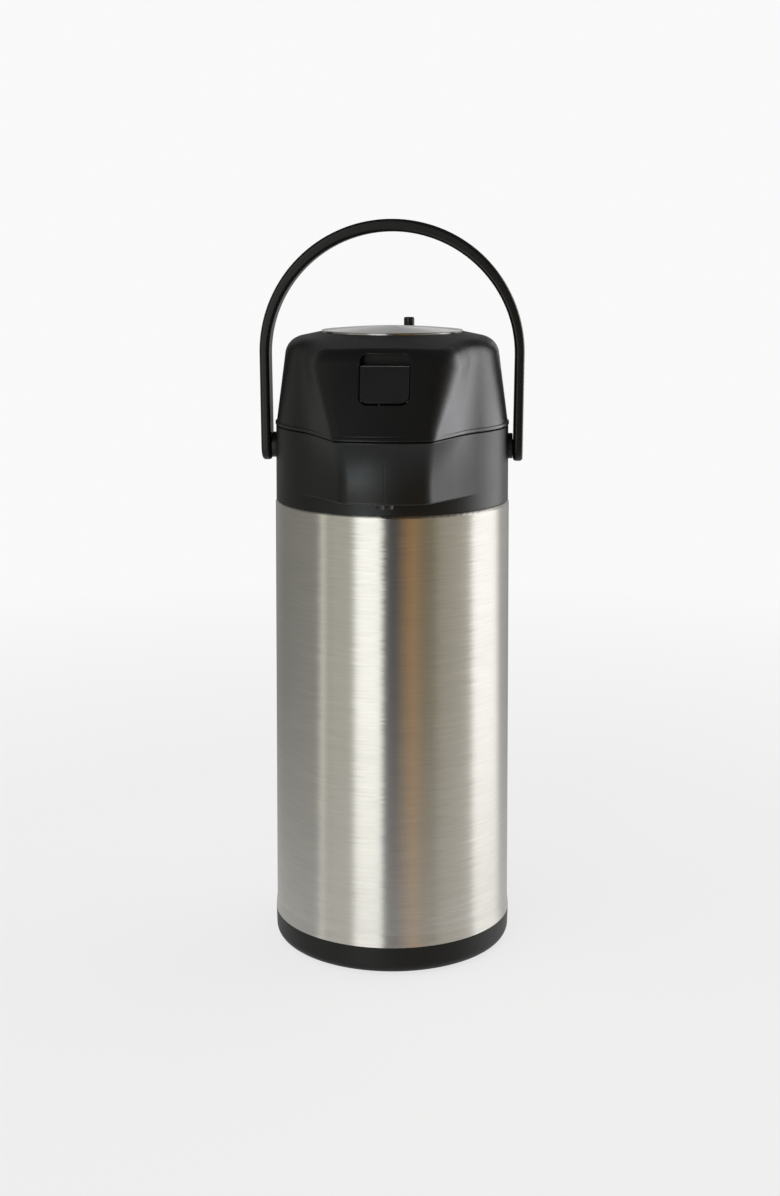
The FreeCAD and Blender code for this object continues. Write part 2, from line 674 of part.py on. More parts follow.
def lid_base_plate():
    plate = lofted(LID, WALL + LID_PLATE_PLAY).common(block(-FAR, FAR, FRONT, FAR, LID_PLATE_BOTTOM,
                                                            LID_PLATE_TOP))
    plate = plate.fuse(rod(PLATE_BOSS_R, PLATE_BOSS_BOTTOM, LID_PLATE_BOTTOM))
    holes = [rod(SCREW_R, LID_PLATE_BOTTOM, LID_PLATE_TOP, x, y) for x, y in screw_places()]
    slot = block(-LATCH_SLOT_HALF, LATCH_SLOT_HALF, -FAR, LATCH_SLOT_BACK, LID_PLATE_BOTTOM, LID_PLATE_TOP)
    return plate.cut(holes + [slot, rod(AIR_BORE, PLATE_BOSS_BOTTOM, LID_PLATE_TOP)])


def lid_screws():
    screws = []
    for x, y in screw_places():
        low = LID_PLATE_BOTTOM - SCREW_HEAD_H
        screw = joined([rod(SCREW_HEAD_R, low, LID_PLATE_BOTTOM, x, y),
                        rod(SCREW_R, low, LID_PLATE_BOTTOM + SCREW_DEPTH, x, y)])
        reach = SCREW_DRIVE_REACH * SCREW_HEAD_R
        for wide, deep in ((reach, SCREW_DRIVE / 2), (SCREW_DRIVE / 2, reach)):
            slot = block(x - wide, x + wide, y - deep, y + deep, low, low + SCREW_DRIVE_DEPTH)
            screw = screw.cut(slot)
        screws.append(screw)
    return Part.makeCompound(screws)


def air_valve():
    return ring(PLATE_BOSS_R, AIR_BORE, VALVE_BOTTOM, PLATE_BOSS_BOTTOM)


def bellows():
    step = (BELLOWS_TOP - LID_PLATE_TOP) / (2 * BELLOWS_FOLDS)
    path = [(BELLOWS_R - BELLOWS_FOLD * (turn % 2), LID_PLATE_TOP + turn * step)
            for turn in range(2 * BELLOWS_FOLDS + 1)]
    return turned(sheet(path, BELLOWS_WALL)).common(rod(BELLOWS_R, LID_PLATE_TOP, BELLOWS_TOP))


def coil(radius, wire, pitch, height):
    """Round wire swept along a helix about Z that starts at the origin's level."""
    helix = Part.makeHelix(pitch, height, radius)
    section = Part.Wire(Part.makeCircle(wire, Vector(radius, 0, 0), Vector(0, 1, 0)))
    return Part.Wire(helix).makePipeShell([section], True, True)


def return_spring():
    height = BELLOWS_TOP - LID_PLATE_TOP - 2 * SPRING_WIRE
    spring = coil(SPRING_R, SPRING_WIRE, height / SPRING_TURNS, height)
    return spring.translate(Vector(0, 0, LID_PLATE_TOP + SPRING_WIRE))


# ---- Push button and lock ----

def spider_room():
    """Windows in the button that let the lock's arms turn."""
    half = math.degrees(SPIDER_HALF / PLUNGER_BORE) + GROOVE_PLAY_DEG
    return [sector(FAR, SPIDER_HUB_R, SPIDER_BOTTOM - SPIDER_PLAY, SPIDER_TOP + SPIDER_PLAY,
                   LOCK_ANGLE - half + side, LOCK_ANGLE + half + LOCK_TURN + side) for side in (0, 180)]


def push_cap():
    plate = rod(CAP_R, CAP_PLATE_BOTTOM, CAP_PLATE_TOP)
    skirt = ring(CAP_R, CAP_SKIRT_BORE, CAP_SKIRT_BOTTOM, CAP_PLATE_BOTTOM)
    guide = ring(CAP_GUIDE_R, CAP_SKIRT_BORE, CAP_SKIRT_BOTTOM, CAP_GUIDE_TOP)
    plunger = ring(PLUNGER_R, PLUNGER_BORE, BELLOWS_TOP, CAP_PLATE_BOTTOM)
    disc = rod(PLUNGER_R, BELLOWS_TOP, PLUNGER_DISC_TOP)
    boss = rod(DISC_HOLLOW_R - PIN_PLAY, CAP_PLATE_TOP, DISC_TOP - DISC_WALL)
    body = joined([plate, skirt, guide, plunger, disc, boss])
    return body.cut(spider_room() + [rod(SHAFT_R + PIN_PLAY, CAP_PLATE_BOTTOM, DISC_TOP - DISC_WALL)])


def knob_place():
    angle = math.radians(KNOB_ANGLE)
    return KNOB_PLACE_R * math.cos(angle), KNOB_PLACE_R * math.sin(angle)


def push_plate():
    """Spun steel cup over the button, with a low upright rim and a crowned top."""
    under = DISC_TOP - DISC_WALL
    disc = turned([(0, under), (DISC_HOLLOW_R, under), (DISC_HOLLOW_R, CAP_PLATE_TOP),
                   (DISC_R, CAP_PLATE_TOP), (DISC_R, DISC_TOP), (0, DISC_TOP)])
    disc = round_rings(disc, DISC_EDGE, [(DISC_R, DISC_TOP)])
    ball_r = (DISC_CROWN_R ** 2 + DISC_CROWN ** 2) / (2 * DISC_CROWN)
    ball = Part.makeSphere(ball_r, Vector(0, 0, DISC_TOP + DISC_CROWN - ball_r))
    disc = disc.fuse(ball.common(rod(DISC_CROWN_R, under, DISC_TOP + DISC_CROWN)))
    x, y = knob_place()
    seat = rod(KNOB_R, DISC_TOP, DISC_TOP + DISC_CROWN, x, y)
    return disc.cut([rod(KNOB_STEM_R, under, DISC_TOP, x, y), seat])


def lock_knob():
    x, y = knob_place()
    knob = rod(KNOB_R, DISC_TOP, DISC_TOP + KNOB_H, x, y)
    knob = knob.makeFillet(KNOB_ROUND, edges_at(knob, DISC_TOP + KNOB_H))
    return knob.fuse(rod(KNOB_STEM_R, DISC_TOP - DISC_WALL, DISC_TOP, x, y))


def lock_spider():
    arms = block(-SPIDER_R, SPIDER_R, -SPIDER_HALF, SPIDER_HALF, SPIDER_BOTTOM, SPIDER_TOP)
    arms = arms.common(rod(SPIDER_R, SPIDER_BOTTOM, SPIDER_TOP)).rotate(Vector(), UP, LOCK_ANGLE)
    shaft = rod(SHAFT_R, SPIDER_TOP, DISC_TOP - DISC_WALL)
    return joined([arms, rod(SPIDER_HUB_R, SPIDER_BOTTOM, SPIDER_TOP), shaft])


# ---- Latch ----

def latch_lever():
    skin = lofted(LID)
    plate = skin.cut(lofted(LID, TAB_THICK)).common(window(TAB_GAP, TAB_GAP_LOW, TAB_TOP))
    plate = plate.makeFillet(TAB_ROUND, edges_on(plate.Edges, skin))
    prong = block(PRONG_IN, PRONG_OUT, PRONG_FRONT, PRONG_BACK, PRONG_BOTTOM, LATCH_Z)
    toe = block(PRONG_IN, PRONG_OUT, TOE_FRONT, PRONG_FRONT, PRONG_BOTTOM, TOE_TOP)
    knuckle = cross_rod(LATCH_KNUCKLE_R, LATCH_KNUCKLE_IN, LATCH_KNUCKLE_OUT, LATCH_Y, LATCH_Z)
    sides = []
    for piece in (prong, toe, knuckle):
        sides = sides + both_sides(piece)
    lever = joined([plate] + sides)
    bore = cross_rod(LATCH_PIN_R + PIN_PLAY, -WINDOW_HALF, WINDOW_HALF, LATCH_Y, LATCH_Z)
    spring_room = cross_rod(LATCH_KNUCKLE_R, -LATCH_KNUCKLE_IN, LATCH_KNUCKLE_IN, LATCH_Y, LATCH_Z)
    return lever.cut([bore, spring_room])


def latch_pin():
    reach = WINDOW_HALF + TAB_GAP + CHEEK_WALL
    return cross_rod(LATCH_PIN_R, -reach, reach, LATCH_Y, LATCH_Z)


def latch_spring():
    spring = coil(TORSION_R, TORSION_WIRE, 2 * TORSION_HALF / TORSION_TURNS, 2 * TORSION_HALF)
    spring = spring.rotate(Vector(), Vector(0, 1, 0), 90)
    spring = spring.translate(Vector(-TORSION_HALF, LATCH_Y, LATCH_Z))
    legs = []
    for x in (-TORSION_HALF, TORSION_HALF):
        start = Vector(x, LATCH_Y, LATCH_Z - TORSION_R)
        legs.append(Part.makeCylinder(TORSION_WIRE, TORSION_LEG, start, Vector(0, 1, 0)))
    return joined([spring] + legs)


# ---- Carrying handle ----

def handle_outline(bow_z, bow_r, foot_x):
    """Face in the XZ plane under a semicircular bow with straight legs."""
    legs = [Vector(bow_r, 0, bow_z), Vector(foot_x, 0, HANDLE_FOOT),
            Vector(-foot_x, 0, HANDLE_FOOT), Vector(-bow_r, 0, bow_z)]
    bow = Part.Arc(legs[3], Vector(0, 0, bow_z + bow_r), legs[0]).toShape()
    lines = [Part.makeLine(a, b) for a, b in zip(legs, legs[1:])]
    return Part.Face(Part.Wire([bow] + lines))


def handle():
    depth = Vector(0, 2 * HANDLE_HALF, 0)
    solid = handle_outline(BOW_Z, BOW_R, FOOT_X_OUT).extrude(depth)
    solid = solid.cut(handle_outline(BOW_BORE_Z, BOW_BORE, FOOT_X_IN).extrude(depth))
    solid = solid.translate(Vector(0, -HANDLE_HALF, 0))
    ends = cross_rod(HANDLE_HALF, -FAR, FAR, 0, PIVOT_Z)
    solid = solid.common(ends.fuse(block(-FAR, FAR, -HANDLE_HALF, HANDLE_HALF, PIVOT_Z, BOW_Z + BOW_R)))
    solid = solid.removeSplitter()
    lengthwise = [edge for edge in solid.Edges
                  if max(edge.BoundBox.XLength, edge.BoundBox.ZLength) > HANDLE_ROUND]
    solid = solid.makeFillet(HANDLE_ROUND, lengthwise)
    holes = both_sides(cross_rod(PIVOT_R + PIN_PLAY, COLLAR_R, FAR, 0, PIVOT_Z))
    sinks = both_sides(cross_rod(PIVOT_HEAD_R + PIVOT_HEAD_PLAY, PIVOT_HEAD_IN - PIN_PLAY, FAR, 0, PIVOT_Z))
    return solid.cut(holes + sinks)


def handle_pivot():
    """Right-hand pivot: a shaft through the shoulder wall with a spacer, a head and an inner flange."""
    spacer = cross_rod(PIVOT_BOSS_R, COLLAR_R - WALL, PIVOT_BOSS_OUT, 0, PIVOT_Z)
    rim = [edge for edge in spacer.Edges if edge.BoundBox.XMin > PIVOT_BOSS_OUT - CLOSE]
    spacer = spacer.makeFillet(BOSS_ROUND, rim)
    spacer = spacer.cut(rod(COLLAR_R, PIVOT_Z - PIVOT_BOSS_R, PIVOT_Z + PIVOT_BOSS_R))
    flange = cross_rod(PIVOT_NUT_R, PIVOT_NUT_IN, COLLAR_R - WALL, 0, PIVOT_Z)
    flange = flange.common(rod(COLLAR_R - WALL, PIVOT_Z - PIVOT_NUT_R, PIVOT_Z + PIVOT_NUT_R))
    shaft = cross_rod(PIVOT_R, PIVOT_NUT_IN, PIVOT_HEAD_OUT, 0, PIVOT_Z)
    head = cross_rod(PIVOT_HEAD_R, PIVOT_HEAD_IN, PIVOT_HEAD_OUT, 0, PIVOT_Z)
    return joined([shaft, spacer, flange, head])


def handle_pivot_right():
    return both_sides(handle_pivot())[0]


def handle_pivot_left():
    return both_sides(handle_pivot())[1]


NODES = [
    outer_shell, inner_liner, vacuum_base_plate, vacuum_seal, base_cap, foot_pad,
    shoulder, neck_ring, neck_gasket, beak_floor, hinge_pin,
    stopper, stopper_gasket, dip_tube, outlet_elbow, spout_nozzle, anti_spill_ball,
    lid, lid_base_plate, lid_screws, air_valve, bellows, return_spring,
    push_cap, push_plate, lock_knob, lock_spider,
    latch_lever, latch_pin, latch_spring,
    handle, handle_pivot_left, handle_pivot_right,
]

os.makedirs("parts", exist_ok=True)
for build in NODES:
    shape = build()
    shape.exportStep("parts/" + build.__name__ + ".step")
    print(build.__name__, len(shape.Solids), round(shape.Volume / 1000, 2), shape.isValid())
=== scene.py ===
"""Looks of a thermal airpot: brushed steel body, near-black moulded head, bail handle and steel push plate.

Every shape is a carried-over CAD node, apart from the pump's bellows and return spring. Those two are made
here. Lengths are metres unless a comment names another unit.
"""

import math

import bpy
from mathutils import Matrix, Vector


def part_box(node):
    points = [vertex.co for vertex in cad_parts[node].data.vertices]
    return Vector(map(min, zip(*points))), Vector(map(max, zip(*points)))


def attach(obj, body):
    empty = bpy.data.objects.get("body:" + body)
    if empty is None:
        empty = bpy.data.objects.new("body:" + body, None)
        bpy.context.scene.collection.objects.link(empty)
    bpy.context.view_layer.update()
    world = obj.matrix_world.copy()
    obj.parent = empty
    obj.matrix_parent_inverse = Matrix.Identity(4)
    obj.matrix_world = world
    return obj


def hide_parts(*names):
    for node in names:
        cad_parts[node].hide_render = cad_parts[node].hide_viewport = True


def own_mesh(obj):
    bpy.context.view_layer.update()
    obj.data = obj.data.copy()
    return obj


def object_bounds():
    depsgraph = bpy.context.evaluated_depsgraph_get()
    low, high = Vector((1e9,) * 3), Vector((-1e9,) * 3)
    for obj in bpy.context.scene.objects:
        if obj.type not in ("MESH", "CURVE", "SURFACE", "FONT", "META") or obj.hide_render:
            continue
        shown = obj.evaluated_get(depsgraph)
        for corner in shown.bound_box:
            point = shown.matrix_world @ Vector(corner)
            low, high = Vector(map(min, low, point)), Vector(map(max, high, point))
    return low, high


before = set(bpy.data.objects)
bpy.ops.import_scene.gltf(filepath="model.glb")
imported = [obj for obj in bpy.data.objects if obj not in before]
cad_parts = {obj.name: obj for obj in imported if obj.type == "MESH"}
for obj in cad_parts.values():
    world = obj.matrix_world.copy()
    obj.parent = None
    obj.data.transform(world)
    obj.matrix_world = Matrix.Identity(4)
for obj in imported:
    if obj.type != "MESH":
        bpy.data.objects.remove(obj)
cad_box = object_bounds()

# Camera: where it stands about the pot's axis, and its lens.
CAMERA_AZIMUTH = 3.0    # degrees
CAMERA_DISTANCE = 1.0545
CAMERA_HEIGHT = 0.4332
CAMERA_PITCH = -4.02    # degrees
CAMERA_SENSOR = 36.0    # mm
CAMERA_LENS = 51.68     # mm
CAMERA_SHIFT_X = -0.0019
CAMERA_SHIFT_Y = -0.20

# Studio walls: (degrees from the camera's side of the pot, positive to its right; red, green, blue)
HALF_ROUND = 180
STUDIO = [
    (-180, (0.26, 0.26, 0.26)),
    (-150, (0.30, 0.30, 0.29)),
    (-138, (0.25, 0.25, 0.235)),
    (-84, (0.31, 0.30, 0.27)),
    (-77, (0.33, 0.32, 0.29)),
    (-73, (1.00, 1.00, 0.87)),
    (-70, (1.00, 1.00, 0.87)),
    (-66, (0.42, 0.41, 0.36)),
    (-60, (0.62, 0.60, 0.52)),
    (-40, (0.64, 0.62, 0.55)),
    (-34, (2.00, 2.02, 1.94)),
    (-12, (2.00, 2.02, 1.94)),
    (-7, (0.010, 0.009, 0.005)),
    (4, (0.010, 0.009, 0.005)),
    (9, (0.19, 0.105, 0.022)),
    (20, (0.47, 0.24, 0.040)),
    (30, (0.24, 0.17, 0.065)),
    (40, (0.24, 0.19, 0.10)),
    (48, (0.43, 0.39, 0.30)),
    (81, (0.60, 0.56, 0.48)),
    (88, (1.80, 1.78, 1.75)),
    (120, (1.65, 1.64, 1.62)),
    (132, (0.55, 0.54, 0.52)),
    (180, (0.26, 0.26, 0.26)),
]

# Studio ceiling and floor, which take over from the walls between two heights of a unit sight line.
CEILING = (0.07, 0.07, 0.075)
CEILING_FROM = 0.30
CEILING_FULL = 0.60
UNDERSIDE = (0.22, 0.25, 0.28)
UNDERSIDE_FROM = -0.35
UNDERSIDE_FULL = -0.85
UNDERSIDE_SHARE = 0.7
BACKDROP = 0.95

# Table: its middle is lit by the lamps, and it turns into the glowing backdrop farther out.
FLOOR_HALF = 12.0
FLOOR_PALE = (0.86, 0.86, 0.855)
FLOOR_SHADE = (0.84, 0.84, 0.84)
FLOOR_CLOUD = 0.3
FLOOR_ROUGH = 0.8
FLOOR_SHEEN = 0.1
FLOOR_GLOW = 0.78       # glowing share within FLOOR_PLAIN of the axis; all of it glows beyond FLOOR_LIT
FLOOR_PLAIN = 0.35
FLOOR_LIT = 1.1
TABLE_SHINE = 0.55      # share that reflections show within TABLE_NEAR of the axis; none beyond TABLE_FAR
TABLE_NEAR = 0.12
TABLE_FAR = 0.60

# Lamps. A lamp with only lights just those CAD nodes, and shows in them as a reflection.
HEAD = ("lid", "latch_lever", "handle", "push_cap", "handle_pivot_left", "handle_pivot_right")
COOL = (0.96, 0.97, 1.0)
LAMPS = [
    dict(name="key", place=(-0.7, -0.6, 1.7), aim=(0, 0, 0.1), size=(2.0, 2.0), power=15.0),
    dict(name="fill", place=(0.9, 0.6, 1.6), aim=(0, 0, 0.1), size=(2.0, 2.0), power=12.5),
    dict(name="side", place=(0.66, 0.41, 0.42), aim=(0, 0, 0.38), size=(0.85, 0.74), power=6.4,
         only=HEAD, tint=COOL),
    dict(name="flank", place=(0.74, 0.24, 0.40), aim=(0, 0, 0.36), size=(0.66, 0.74), power=3.7,
         only=("shoulder",), tint=COOL),
    dict(name="low", place=(-0.17, -0.40, 0.03), aim=(0, -0.09, 0.30), size=(0.14, 0.34), power=0.62,
         only=("shoulder", "lid"), tint=(0.85, 0.97, 1.0)),
    dict(name="top", place=(0, 0.10, 1.20), aim=(0, -0.08, 0.36), size=(0.7, 0.4), power=7.0,
         only=("latch_lever",), tint=(0.90, 0.98, 1.0)),
    dict(name="rear", place=(0.0, 0.90, 0.80), aim=(0, 0, 0.37), size=(1.0, 0.50), power=1.2,
         only=("push_plate",)),
]

# Pump: bellows and return spring stand on the lid's base plate, under the button's plunger.
BELLOWS_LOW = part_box("bellows")[0].z
BELLOWS_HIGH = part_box("bellows")[1].z
BELLOWS_GAP = 0.00005   # left free at each end
BELLOWS_INSET = 0.0001
BELLOWS_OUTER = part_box("bellows")[1].x - BELLOWS_INSET
BELLOWS_PLEAT = 0.0048
BELLOWS_PLEATS = 5
BELLOWS_FULL = 0.8      # below 1, folds are fuller than a plain wave's
BELLOWS_STEPS = 120
BELLOWS_GAUGE = 0.0015
ROUND_STEPS = 96
WIRE_R = 0.0008
WIRE_SIDES = 12
WIRE_STEPS = 48
SPRING_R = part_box("return_spring")[1].x - WIRE_R
SPRING_TURNS = 6
DEAD_PITCH = 0.00175    # rise of the flat coil at each end

# Noise: most of its values lie between low and high, about the mean. Detail is its number of finer layers.
NOISE_LOW = 0.35
NOISE_HIGH = 0.65
MEAN_NOISE = 0.5
WIDE_NOISE = (0.25, 0.75)
WIDEST_NOISE = (0.20, 0.80)
SOFT_DETAIL = 2.0
MIDDLE_DETAIL = 3.0
SHARP_DETAIL = 4.0

# In the finishes below, a shade multiplies the tint, a share is the most that a colour blends in, a rough is
# added to the roughness, a bump is the grain's strength and a size is how big its lumps are.
GRAIN_HEIGHT = 0.0002

# The Mix node's colour sockets, by number, since its names repeat.
MIX_FIRST = 6
MIX_SECOND = 7
MIX_RESULT = 2

# Brushed steel: streaks are (length in radians about the axis, width, detail).
FINE_STREAKS = (0.16, 0.00030, 1.0)
MEDIUM_STREAKS = (0.30, 0.0009, 2.0)
BROAD_STREAKS = (1.5, 0.012, 2.0)
STREAK_SHADE = (0.94, 1.05)
BROAD_SHADE = (0.985, 1.015)
STREAK_ROUGH = (-0.03, 0.03)
PATCH_SIZE = 0.06
PATCH_ROUGH = 0.01
FINE_TILT = 2.0         # fine lines tilt up and down this many times as far as medium ones turn sideways
QUARTER_TURN = 0.25

# Pressed steel
STEEL_LUMPS = 0.0008
STEEL_CLOUD = 0.02
STEEL_BUMP = 0.12
STEEL_SHADE = 0.86
STEEL_LUMP_ROUGH = (-0.04, 0.05)
STEEL_CLOUD_ROUGH = 0.06

# Moulded plastic, unless a finish says otherwise
PLASTIC_GRAIN = 0.00045
PLASTIC_BUMP = 0.10
PLASTIC_SHEEN = 0.5
FLOW_SIZE = 0.035
FLOW_SHADE = 1.5
FLOW_SHARE = 0.35
FLOW_SMOOTHER = 0.02
FLOW_ROUGHER = 0.03
PIT_ROUGH = (-0.05, 0.06)
RUB_SIZE = 0.006
RUB_LEAST = 0.25
# Rubbed edges: paler along every sharp edge, partly as wear and partly as a painted highlight line.
EDGE_RADIUS = 0.0006
EDGE_SHARP = 0.80       # cosine between rounded and true face where an edge is fully rubbed
EDGE_FLAT = 0.995       # the same where rubbing begins
EDGE_WEAR_AND_HIGHLIGHT_SHARE = 0.6
EDGE_POLISH = 0.12
EDGE_PALE_AND_HIGHLIGHT = 2.2
EDGE_DUST_AND_HIGHLIGHT = 0.012

# The mould's parting line down the beak: it runs in front of BEAK_BACK and below PARTING, the lid's seam.
BEAK_BACK = -0.078
PARTING = 0.3188
LINE_INNER = 0.00010
LINE_OUTER = 0.00030
LINE_HEIGHT = -6.0      # times the grain's height

# Rubber and tube plastic
PORE_SIZE = 0.0006
PORE_BUMP = 0.2
PORE_ROUGH = 0.12
BLOOM_SIZE = 0.012
BLOOM_SHARE = 0.5
DUST_SHADE = 0.9
DUST_PALE = 0.03
MILK_SIZE = 0.01
MILK_PITS = 0.0005
MILK_BUMP = 0.05
MILK_SHADE = 0.85
MILK_IOR = 1.49


def put(tree, kind, inputs=None, **settings):
    """Add one shader node. Its inputs are values or other nodes' sockets, by name or by number."""
    made = tree.nodes.new("ShaderNode" + kind)
    for name, value in settings.items():
        setattr(made, name, value)
    for name, value in (inputs or {}).items():
        if isinstance(value, bpy.types.NodeSocket):
            tree.links.new(value, made.inputs[name])
        else:
            made.inputs[name].default_value = value
    return made


def calc(tree, operation, first, second=0.0, third=0.0):
    return put(tree, "Math", {0: first, 1: second, 2: third}, operation=operation).outputs[0]


def vector_calc(tree, operation, first, second=None, scale=None):
    inputs = {0: first}
    if second is not None:
        inputs[1] = second
    if scale is not None:
        inputs["Scale"] = scale
    return put(tree, "VectorMath", inputs, operation=operation).outputs[0]


def ranged(tree, value, low, high, start=NOISE_LOW, end=NOISE_HIGH):
    """Stretch a value that runs from start to end over low to high, and hold it there."""
    made = put(tree, "MapRange", {"Value": value, "From Min": start, "From Max": end,
                                  "To Min": low, "To Max": high})
    return made.outputs[0]


def mixed(tree, amount, first, second):
    """Blend two colours."""
    made = put(tree, "Mix", {0: amount}, data_type="RGBA")
    for socket, value in ((made.inputs[MIX_FIRST], first), (made.inputs[MIX_SECOND], second)):
        if isinstance(value, bpy.types.NodeSocket):
            tree.links.new(value, socket)
        else:
            socket.default_value = (*value, 1.0)
    return made.outputs[MIX_RESULT]


def noise(tree, place, size, detail=SOFT_DETAIL):
    """Soft lumps of about one size, in metres, or in the unit of the place."""
    made = put(tree, "TexNoise", {"Vector": place, "Scale": 1.0 / size, "Detail": detail})
    return made.outputs[0]


def new_material(name):
    """A material with an empty principled shader: (the material, its node tree, the shader)."""
    material = bpy.data.materials.new(name)
    material.use_nodes = True
    tree = material.node_tree
    tree.nodes.clear()
    shader = put(tree, "BsdfPrincipled")
    put(tree, "OutputMaterial", {"Surface": shader.outputs[0]})
    return material, tree, shader


def feed(tree, shader, **values):
    """Give the principled shader its inputs; an underscore in a name stands for a space."""
    for name, value in values.items():
        socket = shader.inputs[name.replace("_", " ")]
        if isinstance(value, bpy.types.NodeSocket):
            tree.links.new(value, socket)
        elif isinstance(value, tuple):
            socket.default_value = (*value, 1.0)
        else:
            socket.default_value = value


def object_place(tree):
    return put(tree, "TexCoord").outputs["Object"]


def turned_steel(name, tint, roughness, spread, wobble):
    """Steel brushed in rings about the pot's axis: fine lines, with a highlight stretched across them."""
    material, tree, shader = new_material(name)
    x, y, z = put(tree, "SeparateXYZ", {0: object_place(tree)}).outputs
    reach = calc(tree, "SQRT", calc(tree, "ADD", calc(tree, "MULTIPLY", x, x), calc(tree, "MULTIPLY", y, y)))
    across = calc(tree, "ADD", reach, z)

    def streaks(length, width, detail):
        """Noise drawn out along the rings; length is in radians about the axis and width in metres."""
        place = put(tree, "CombineXYZ", {
            0: calc(tree, "DIVIDE", x, calc(tree, "MULTIPLY", reach, length)),
            1: calc(tree, "DIVIDE", y, calc(tree, "MULTIPLY", reach, length)),
            2: calc(tree, "DIVIDE", across, width)}).outputs[0]
        return noise(tree, place, 1.0, detail)

    fine = streaks(*FINE_STREAKS)
    medium = streaks(*MEDIUM_STREAKS)
    broad = streaks(*BROAD_STREAKS)
    patches = noise(tree, object_place(tree), PATCH_SIZE)

    worn = ranged(tree, broad, *BROAD_SHADE)
    lined = ranged(tree, medium, *STREAK_SHADE, *WIDE_NOISE)
    shade = calc(tree, "MULTIPLY", worn, lined)
    colour = vector_calc(tree, "SCALE", tint, scale=shade)
    rough = calc(tree, "ADD", ranged(tree, fine, *STREAK_ROUGH, *WIDEST_NOISE),
                 ranged(tree, patches, roughness, roughness + PATCH_ROUGH))

    geometry = put(tree, "NewGeometry")
    ring = put(tree, "Tangent", direction_type="RADIAL", axis="Z").outputs[0]
    upright = vector_calc(tree, "CROSS_PRODUCT", geometry.outputs["Normal"], ring)
    sideways = calc(tree, "MULTIPLY", calc(tree, "SUBTRACT", medium, MEAN_NOISE), wobble)
    tilt = calc(tree, "MULTIPLY", calc(tree, "SUBTRACT", fine, MEAN_NOISE), FINE_TILT * wobble)
    normal = geometry.outputs["Normal"]
    normal = vector_calc(tree, "ADD", normal, vector_calc(tree, "SCALE", ring, scale=sideways))
    normal = vector_calc(tree, "ADD", normal, vector_calc(tree, "SCALE", upright, scale=tilt))
    normal = vector_calc(tree, "NORMALIZE", normal)

    feed(tree, shader, Base_Color=colour, Metallic=1.0, Roughness=rough, Anisotropic=spread,
         Anisotropic_Rotation=QUARTER_TURN, Tangent=ring, Normal=normal)
    return material


def plain_steel(name, tint, roughness):
    """Drawn or pressed steel: faint uneven shine and shallow lumps."""
    material, tree, shader = new_material(name)
    place = object_place(tree)
    lumps = noise(tree, place, STEEL_LUMPS, SHARP_DETAIL)
    cloud = noise(tree, place, STEEL_CLOUD)
    bump = put(tree, "Bump", {"Strength": STEEL_BUMP, "Distance": GRAIN_HEIGHT, "Height": lumps}).outputs[0]
    colour = mixed(tree, ranged(tree, cloud, 0.0, 1.0), tint, tuple(STEEL_SHADE * part for part in tint))
    rough = calc(tree, "ADD", ranged(tree, lumps, *STEEL_LUMP_ROUGH),
                 ranged(tree, cloud, roughness, roughness + STEEL_CLOUD_ROUGH))
    feed(tree, shader, Base_Color=colour, Metallic=1.0, Roughness=rough, Normal=bump)
    return material


def mould_line(tree, place):
    """1 on the faint line that the mould's halves left down the middle of the beak, and 0 elsewhere."""
    x, y, z = put(tree, "SeparateXYZ", {0: place}).outputs
    thin = ranged(tree, calc(tree, "ABSOLUTE", x), 1.0, 0.0, LINE_INNER, LINE_OUTER)
    front = calc(tree, "LESS_THAN", y, BEAK_BACK)
    below = calc(tree, "LESS_THAN", z, PARTING)
    return calc(tree, "MULTIPLY", thin, calc(tree, "MULTIPLY", front, below))


def moulded(name, tint, roughness, grain=PLASTIC_GRAIN, depth=PLASTIC_BUMP, sheen=PLASTIC_SHEEN):
    """Injection-moulded plastic: fine spark-eroded grain, slow shine changes, and rubbed edges paled partly
    as a painted highlight.
    """
    material, tree, shader = new_material(name)
    place = object_place(tree)
    pits = noise(tree, place, grain, MIDDLE_DETAIL)
    flow = noise(tree, place, FLOW_SIZE)
    rub = noise(tree, place, RUB_SIZE, SHARP_DETAIL)
    soft_edge = put(tree, "Bevel", {"Radius": EDGE_RADIUS}, samples=4).outputs[0]
    edge = put(tree, "VectorMath", {0: soft_edge, 1: put(tree, "NewGeometry").outputs["Normal"]},
               operation="DOT_PRODUCT").outputs["Value"]
    worn = calc(tree, "MULTIPLY", ranged(tree, edge, 1.0, 0.0, EDGE_SHARP, EDGE_FLAT),
                ranged(tree, rub, RUB_LEAST, 1.0))
    height = calc(tree, "ADD", pits, calc(tree, "MULTIPLY", mould_line(tree, place), LINE_HEIGHT))
    bump = put(tree, "Bump", {"Strength": depth, "Distance": GRAIN_HEIGHT, "Height": height,
                              "Normal": soft_edge}).outputs[0]
    # Painted highlight: edges blend towards a paler colour, partly as rubbed wear and partly as thin light
    # lines.
    pale = tuple(EDGE_PALE_AND_HIGHLIGHT * part + EDGE_DUST_AND_HIGHLIGHT for part in tint)
    cloudy = mixed(tree, ranged(tree, flow, 0.0, FLOW_SHARE), tint, tuple(FLOW_SHADE * part for part in tint))
    colour = mixed(tree, calc(tree, "MULTIPLY", worn, EDGE_WEAR_AND_HIGHLIGHT_SHARE), cloudy, pale)
    rough = calc(tree, "ADD", ranged(tree, pits, *PIT_ROUGH),
                 ranged(tree, flow, roughness - FLOW_SMOOTHER, roughness + FLOW_ROUGHER))
    rough = calc(tree, "SUBTRACT", rough, calc(tree, "MULTIPLY", worn, EDGE_POLISH))
    feed(tree, shader, Base_Color=colour, Roughness=rough, Normal=bump, Specular_IOR_Level=sheen)
    return material


